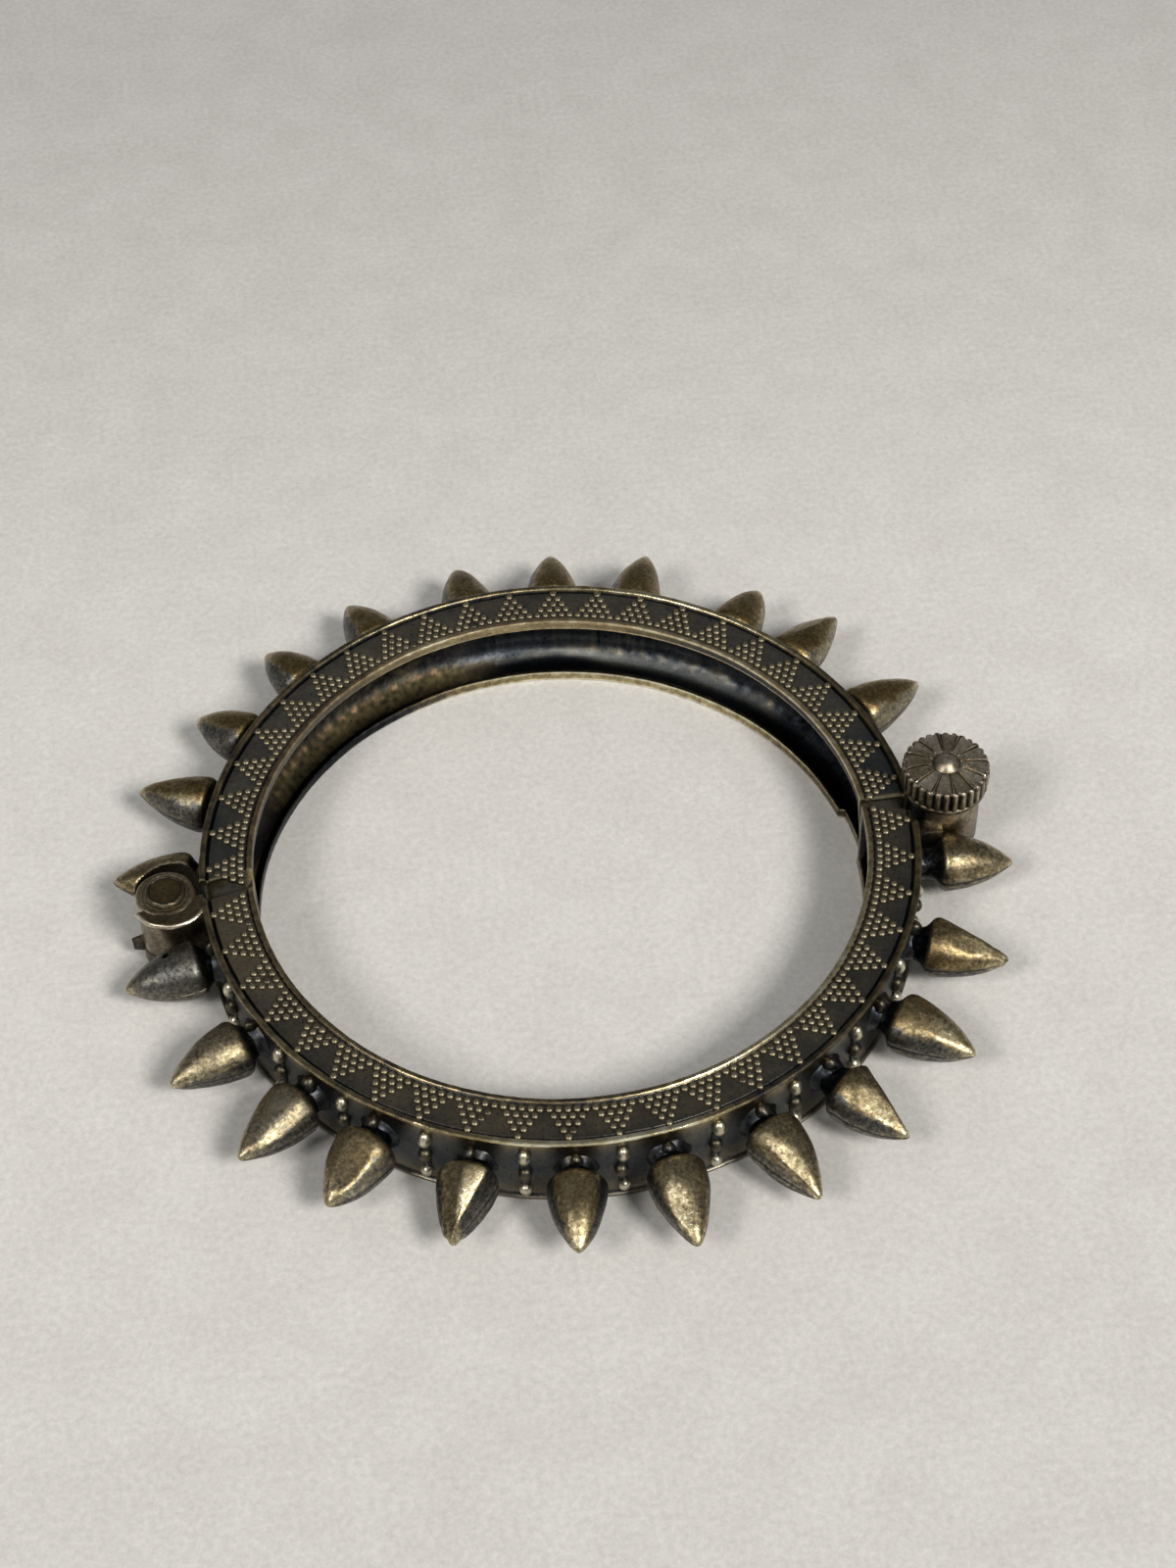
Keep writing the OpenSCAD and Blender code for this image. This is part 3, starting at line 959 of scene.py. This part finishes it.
for name, body, table, seed in (
    ("far_balls", "far_half", FAR_SPIKES, 31),
    ("near_balls", "near_half", NEAR_SPIKES, 32),
):
    chance = random.Random(seed)
    beads = bmesh.new()
    wear_layer = beads.verts.layers.float.new("wear_and_painted_light")
    for before, after in zip(table, table[1:]):
        for level, ball_r, drawn in BALLS:
            turn = math.radians((before[0] + after[0]) / 2 + chance.gauss(0, 0.15))
            r = WALL_R + BALL_PROUD
            size = ball_r * chance.uniform(0.96, 1.06)
            height = BALL_Z + level * BALL_STEP + chance.gauss(0, 0.05)
            spot = Matrix.Translation((r * math.cos(turn), r * math.sin(turn), height))
            made = bmesh.ops.create_uvsphere(
                beads,
                u_segments=18,
                v_segments=12,
                radius=size,
                matrix=spot @ Matrix.Diagonal((1, 1, drawn, 1)),
            )
            for vert in made["verts"]:
                # low darkens the lower half of each outer ball: painted shade.
                low = max(0.0, (height - vert.co.z) / size)
                vert[wear_layer] = 0.38 if level == 0 else 0.86 - 0.35 * low
    jitter(beads.verts, 0.04, 0.8, seed)
    make_piece(name, beads, body, granulation, crease=80)

# The solder
# Black solder flows in a lumpy collar round the neck of each spike, peaks over its top where it was
# built up, and runs down the wall behind each column of balls.
solder = patinated(
    "solder",
    BRASSY_TONES,
    mottle=0.35,
    speckle=0.4,
    roughness=(0.4, 0.3),
    bump=0.5,
)
# Columns: distance from the wall, radius
COLLAR = [
    (-0.3, 1.3),
    (-0.3, 2.2),
    (0.02, 2.08),
    (0.18, 1.9),
    (0.45, 1.75),
    (0.8, 1.66),
    (1.2, 1.6),
    (1.2, 1.3),
]
for name, body, table, seed in (
    ("far_solder", "far_half", FAR_SPIKES, 41),
    ("near_solder", "near_half", NEAR_SPIKES, 42),
):
    chance = random.Random(seed)
    lumps = bmesh.new()
    lumps.verts.layers.float.new("wear_and_painted_light")
    for number, (angle, *_) in enumerate(table):
        collar = bmesh.new()
        line = [collar.verts.new((along, radius, 0)) for along, radius in COLLAR]
        edges = [collar.edges.new(pair) for pair in zip(line, line[1:] + line[:1])]
        bmesh.ops.spin(
            collar,
            geom=line + edges,
            axis=(1, 0, 0),
            cent=(0, 0, 0),
            angle=2 * math.pi,
            steps=36,
            use_merge=True,
        )
        grown = chance.uniform(0.8, 1.1)
        peak = Matrix.Translation((0.4, chance.uniform(-0.4, 0.4), 1.75))
        bmesh.ops.create_icosphere(
            collar,
            subdivisions=3,
            radius=grown,
            matrix=peak @ Matrix.Diagonal((0.85, 0.7, 1.0, 1)),
        )
        jitter(collar.verts, 0.25, 1.6, seed + number)
        jitter(collar.verts, 0.06, 0.5, seed + number)
        bmesh.ops.recalc_face_normals(collar, faces=collar.faces)
        bmesh.ops.translate(collar, vec=(WALL_R, 0, MID_Z), verts=collar.verts)
        if number + 1 < len(table):
            strip = bmesh.ops.create_icosphere(
                collar,
                subdivisions=3,
                radius=1,
                matrix=Matrix.Rotation(math.radians((table[number + 1][0] - angle) / 2), 4, "Z")
                @ Matrix.Translation((WALL_R, 0, BALL_Z - 0.2))
                @ Matrix.Diagonal((0.3, 0.48, 3.6, 1)),
            )
            jitter(strip["verts"], 0.12, 0.8, seed + number)
        turn_round(collar, angle)
        if angle == HINGE_SPIKE:
            clear_hinge(collar.verts)
        wear_layer = collar.verts.layers.float.new("wear_and_painted_light")
        for vert in collar.verts:
            vert[wear_layer] = 0.20 + 0.24 * max(0.0, (vert.co.z - 6.2) / 1.4)
        absorb(lumps, collar)
    make_piece(name, lumps, body, solder, crease=80)

# The hinge
# A tall barrel on the near half sits over a short one on the far half, each on a leaf let into the
# ring's end. A crescent ear is soldered over the near barrel, and a rivet holds them together.
PIN_BORE_R = 1.25


def lathe(form, rows, centre, steps=64, closed=True):
    """Spins a profile of (radius, height) rows about an upright axis."""
    verts = [form.verts.new((centre[0] + r, centre[1], z)) for r, z in rows]
    after = verts[1:] + (verts[:1] if closed else [])
    edges = [form.edges.new(pair) for pair in zip(verts, after)]
    bmesh.ops.spin(
        form,
        geom=verts + edges,
        axis=(0, 0, 1),
        cent=(centre[0], centre[1], 0),
        angle=2 * math.pi,
        steps=steps,
        use_merge=True,
    )
    bmesh.ops.remove_doubles(form, verts=form.verts, dist=0.0005)


def block(form, low, high, edge=0.12):
    """A box between two corners with softened edges."""
    size = Vector(high) - Vector(low)
    middle = (Vector(high) + Vector(low)) / 2
    made = bmesh.ops.create_cube(
        form, size=1, matrix=Matrix.Translation(middle) @ Matrix.Diagonal((*size, 1))
    )
    edges = list(dict.fromkeys(e for v in made["verts"] for e in v.link_edges))
    bmesh.ops.bevel(
        form,
        geom=edges,
        offset=edge,
        offset_type="OFFSET",
        affect="EDGES",
        segments=2,
        profile=0.5,
        material=-1,
    )


def wear_by_height(form, low, high, least, most):
    """Rubbed more towards the top."""
    layer = form.verts.layers.float.new("wear_and_painted_light")
    for vert in form.verts:
        vert[layer] = least + (most - least) * ease(vert.co.z, low, high)


hinge_metal = patinated(
    "hinge_silver",
    DARK_TONES
    + [
        (0.6, (0.285, 0.233, 0.168)),
        (0.8, (0.57, 0.50, 0.39)),
        (1.0, (0.91, 0.86, 0.73)),
    ],
    mottle=0.6,
    speckle=0.9,
    roughness=(0.40, 0.27),
    bump=0.6,
    tint=[(0.0, (0.17, 0.125, 0.055)), (1.0, (0.17, 0.125, 0.055))],
    film_matt=0.1,
)
HINGE = (-HINGE_X, 0.0)
barrel = bmesh.new()
lathe(
    barrel,
    [
        (PIN_BORE_R, 2.30),
        (2.80, 2.30),
        (2.90, 2.42),
        (2.92, 5.0),
        (2.92, 8.55),
        (2.86, 8.82),
        (2.72, 9.00),
        (2.58, 9.06),
        (2.30, 9.08),
        (2.18, 9.00),
        (2.06, 9.06),
        (PIN_BORE_R, 9.06),
    ],
    HINGE,
)
block(barrel, (-HINGE_X, -2.7, 2.3), (-WALL_R + 0.4, -1.2, 8.4))
wear_by_height(barrel, 2.3, 9.1, 0.5, 0.6)
barrel_scorch = barrel.verts.layers.float.new("scorch")
for vert in barrel.verts:
    vert[barrel_scorch] = 0.4 if vert.co.z > 8.7 else 0.0
# The crown round the rivet's head stays round, so that the two turn past each other.
CROWN_R = 2.4
outside = [v for v in barrel.verts if math.hypot(v.co.x + HINGE_X, v.co.y) >= CROWN_R]
jitter(outside, 0.07, 2.2, 51)
bmesh.ops.recalc_face_normals(barrel, faces=barrel.faces)

ear = bmesh.new()
EAR = (-HINGE_X + 0.45, -0.3)
lathe(
    ear,
    [
        (0.0, 8.45),
        (3.55, 8.45),
        (3.76, 8.52),
        (3.85, 8.68),
        (3.82, 8.86),
        (3.70, 8.98),
        (3.5, 9.03),
        (0.0, 9.03),
    ],
    EAR,
    steps=72,
    closed=False,
)
# A slanting cut leaves the crescent, and a second one ends it in the ring's wall.
for spot, away in (((-HINGE_X, -1.35, 0), (-0.2, 1, 0)), ((-WALL_R - 0.25, 0, 0), (1, 0, 0))):
    cut = bmesh.ops.bisect_plane(
        ear,
        geom=ear.verts[:] + ear.edges[:] + ear.faces[:],
        plane_co=spot,
        plane_no=away,
        clear_outer=True,
    )
    bmesh.ops.contextual_create(
        ear, geom=[e for e in cut["geom_cut"] if isinstance(e, bmesh.types.BMEdge)]
    )
ear_wear = ear.verts.layers.float.new("wear_and_painted_light")
ear_scorch = ear.verts.layers.float.new("scorch")
# The rounded rim is painted bright, partly rubbed and partly a painted highlight along its edge; the
# face inside it is darker under a brown film.
for vert in ear.verts:
    on_edge = math.hypot(vert.co.x - EAR[0], vert.co.y - EAR[1]) > 3.6
    vert[ear_wear] = 0.85 if on_edge else 0.38
    vert[ear_scorch] = 0.0 if on_edge else 0.6
jitter(ear.verts, 0.08, 1.6, 54)
bmesh.ops.recalc_face_normals(ear, faces=ear.faces)
absorb(barrel, ear)
make_piece("near_hinge_barrel", barrel, "near_half", hinge_metal)

knuckle = bmesh.new()
lathe(
    knuckle,
    [(PIN_BORE_R, 0.4), (2.9, 0.4), (3.0, 0.5), (3.0, 2.1), (2.9, 2.2), (PIN_BORE_R, 2.2)],
    HINGE,
)
block(knuckle, (-HINGE_X, 0.7, 0.4), (-WALL_R + 0.4, 2.8, 2.2))
# A scrap of leaf sticks out behind the near barrel, drawn down and bent at its end.
block(knuckle, (-HINGE_X - 4.2, -0.50, 1.3), (-HINGE_X - 2.8, -0.10, 3.5), edge=0.08)
for vert in knuckle.verts:
    if vert.co.x < -HINGE_X - 3.2:
        vert.co.z = 2.3 + (vert.co.z - 2.3) * 0.62
        vert.co.x += 0.35 * math.sin(vert.co.z * 5)
wear_by_height(knuckle, 0, 3, 0.3, 0.4)
jitter(knuckle.verts, 0.06, 2.0, 52)
bmesh.ops.recalc_face_normals(knuckle, faces=knuckle.faces)
make_piece("far_hinge_knuckle", knuckle, "far_half", hinge_metal)

# The rivet
# A soft rod, hammered over at both ends. Its upper head is a low cone, pitted and brown on top.
rivet = bmesh.new()
lathe(
    rivet,
    [
        (0.0, 0.05),
        (1.7, 0.05),
        (1.8, 0.14),
        (1.8, 0.32),
        (1.2, 0.35),
        (1.2, 9.12),
        (2.02, 9.12),
        (2.04, 9.22),
        (1.96, 9.40),
        (1.84, 9.55),
        (1.74, 9.62),
        (1.64, 9.61),
        (1.56, 9.52),
        (1.46, 9.50),
        (0.9, 9.52),
        (0.4, 9.50),
        (0.0, 9.51),
    ],
    HINGE,
    steps=72,
    closed=False,
)
rivet_wear = rivet.verts.layers.float.new("wear_and_painted_light")
rivet_scorch = rivet.verts.layers.float.new("scorch")
for vert in rivet.verts:
    out = math.hypot(vert.co.x + HINGE_X, vert.co.y)
    vert[rivet_wear] = 0.44 if out > 1.6 else 0.38
    if 1.5 < out < 1.6:
        vert[rivet_wear] = 0.1
    vert[rivet_scorch] = 0.9 if out < 1.5 else 0.3
jitter([v for v in rivet.verts if v.co.z > 9.3], 0.08, 0.7, 53)
bmesh.ops.recalc_face_normals(rivet, faces=rivet.faces)
make_piece("hinge_rivet", rivet, "far_half", hinge_metal, node="hinge_pin")

# The clasp
# A tall barrel is soldered to the near half and to its last spike, and an open hook on the far half
# lies under it. The screw goes down through both.
CLASP_R = 38.6
CLASP_TURN = math.radians(1.8)
CLASP = (CLASP_R * math.cos(CLASP_TURN), CLASP_R * math.sin(CLASP_TURN))
SCREW_BORE_R = 1.35

tube = bmesh.new()
lathe(
    tube,
    [
        (SCREW_BORE_R, 2.8),
        (3.5, 2.8),
        (3.65, 2.95),
        (3.66, 5.5),
        (3.62, 8.9),
        (3.5, 9.1),
        (SCREW_BORE_R, 9.1),
    ],
    CLASP,
)
block(tube, (WALL_R - 0.4, -3.1, 3.1), (CLASP[0] - 0.9, -1.3, 7.4))
wear_by_height(tube, 2.8, 9.1, 0.45, 0.6)
tube_wear = tube.verts.layers.float["wear_and_painted_light"]
for vert in tube.verts:
    if vert.co.x < CLASP[0] - 2.4:
        vert[tube_wear] = 0.12
jitter(tube.verts, 0.07, 2.4, 61)
bmesh.ops.recalc_face_normals(tube, faces=tube.faces)
make_piece("near_clasp_barrel", tube, "near_half", hinge_metal)

hook = bmesh.new()
HOOK_R = 3.3
HOOK_Z = 0.4
HOOK_H = 2.1
SLOT = 1.6
gape = math.asin(SLOT / HOOK_R)
outline = []
for step in range(33):
    turn = -math.pi / 2 + gape + (2 * math.pi - 2 * gape) * step / 32
    outline.append((CLASP[0] + HOOK_R * math.cos(turn), CLASP[1] + HOOK_R * math.sin(turn)))
for step in range(17):
    turn = math.pi - math.pi * step / 16
    outline.append((CLASP[0] + SLOT * math.cos(turn), CLASP[1] + SLOT * math.sin(turn)))
hook_face = hook.faces.new([hook.verts.new((x, y, HOOK_Z)) for x, y in outline])
thick = bmesh.ops.extrude_face_region(hook, geom=[hook_face])
hook_top = [v for v in thick["geom"] if isinstance(v, bmesh.types.BMVert)]
bmesh.ops.translate(hook, vec=(0, 0, HOOK_H), verts=hook_top)
block(
    hook,
    (WALL_R - 0.4, CLASP[1] - 0.2, HOOK_Z),
    (CLASP[0] - 2.2, CLASP[1] + 2.6, HOOK_Z + HOOK_H),
)
wear_by_height(hook, 0, 3, 0.3, 0.4)
jitter(hook.verts, 0.04, 2.0, 62)
bmesh.ops.recalc_face_normals(hook, faces=hook.faces)
make_piece("far_clasp_hook", hook, "far_half", hinge_metal)

# The clasp screw
# A threaded rod with a cast knob: a fluted side over a narrow flange, and on top a small boss with
# twelve petals round it, parted by thin ridges.
KNOB_Z = 9.3
KNOB_R = 4.3
FLUTES = 30
FLUTE_DEPTH = 0.26
PETALS = 12
PETAL_TURN = 0.15
THREAD_TURNS = 14
THREAD_PITCH = 0.6
thread = []
for turn in range(THREAD_TURNS):
    foot = 0.75 + turn * THREAD_PITCH
    thread += [(1.17, foot), (1.3, foot + THREAD_PITCH / 2)]
rows = (
    [(0.0, 0.6), (1.0, 0.6)]
    + thread
    + [
        (1.3, KNOB_Z),
        (3.9, KNOB_Z),
        (4.1, 9.36),
        (4.15, 9.6),
        (4.1, 9.82),
        (3.98, 9.9),
        (4.2, 9.98),
        (KNOB_R, 10.15),
        (KNOB_R, 10.9),
        (KNOB_R, 11.6),
        (KNOB_R, 12.1),
        (4.24, 12.3),
        (4.08, 12.42),
        (3.9, 12.46),
        (3.6, 12.5),
        (3.2, 12.54),
        (2.8, 12.57),
        (2.3, 12.6),
        (1.9, 12.61),
        (1.6, 12.6),
        (1.45, 12.52),
        (1.32, 12.5),
        (1.22, 12.6),
        (1.02, 12.79),
        (0.75, 12.98),
        (0.42, 13.14),
        (0.2, 13.19),
        (0.0, 13.2),
    ]
)
knob = bmesh.new()
lathe(knob, rows, CLASP, steps=240, closed=False)
wear_layer = knob.verts.layers.float.new("wear_and_painted_light")
scorch_layer = knob.verts.layers.float.new("scorch")
for vert in knob.verts:
    across = Vector((vert.co.x - CLASP[0], vert.co.y - CLASP[1]))
    r = across.length
    turn = math.atan2(across.y, across.x)
    z = vert.co.z
    vert[wear_layer] = 0.45
    if z > 9.94 and r > 4.0 and z < 12.44:
        groove = (0.5 + 0.5 * math.cos(turn * FLUTES)) ** 2
        vert.co.x -= across.x / r * FLUTE_DEPTH * groove
        vert.co.y -= across.y / r * FLUTE_DEPTH * groove
        vert[wear_layer] = 0.62 - 0.55 * groove
    elif z > 12.4 and r > 1.4:
        petal_angle = turn * PETALS / 2 + PETAL_TURN
        petal = abs(math.sin(petal_angle))
        ridge = max(0.0, 1 - petal / 0.14)
        number = math.floor(petal_angle / math.pi)
        span = min(1.0, (r - 1.4) / 0.5) * min(1.0, (4.1 - r) / 0.3)
        vert.co.z += (0.16 * ridge - 0.16 * petal) * max(0.0, span)
        # The ridges are painted brighter and the strips beside them darker: painted highlight and
        # painted shade of the raised ridges, over rubbed metal.
        vert[wear_layer] = 0.70 + 0.2 * ridge + 0.09 * math.sin(number * 2.3) + 0.1 * (r / 4) ** 4
        vert[scorch_layer] = (0.28 + 0.12 * math.sin(number * 1.7)) * (1 - ridge)
        if 0.14 < petal < 0.35:
            vert[wear_layer] = 0.34
    elif z > 12.4:
        vert[wear_layer] = 0.46 + 0.22 * max(0.0, (z - 12.6) / 0.6)
    if r > 4.1 and 12.2 < z < 12.5:
        vert[wear_layer] = 0.75
jitter(knob.verts, 0.03, 1.1, 71)
bmesh.ops.recalc_face_normals(knob, faces=knob.faces)
make_piece("clasp_knob", knob, "clasp_screw", hinge_metal, node="clasp_screw")

low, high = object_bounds()
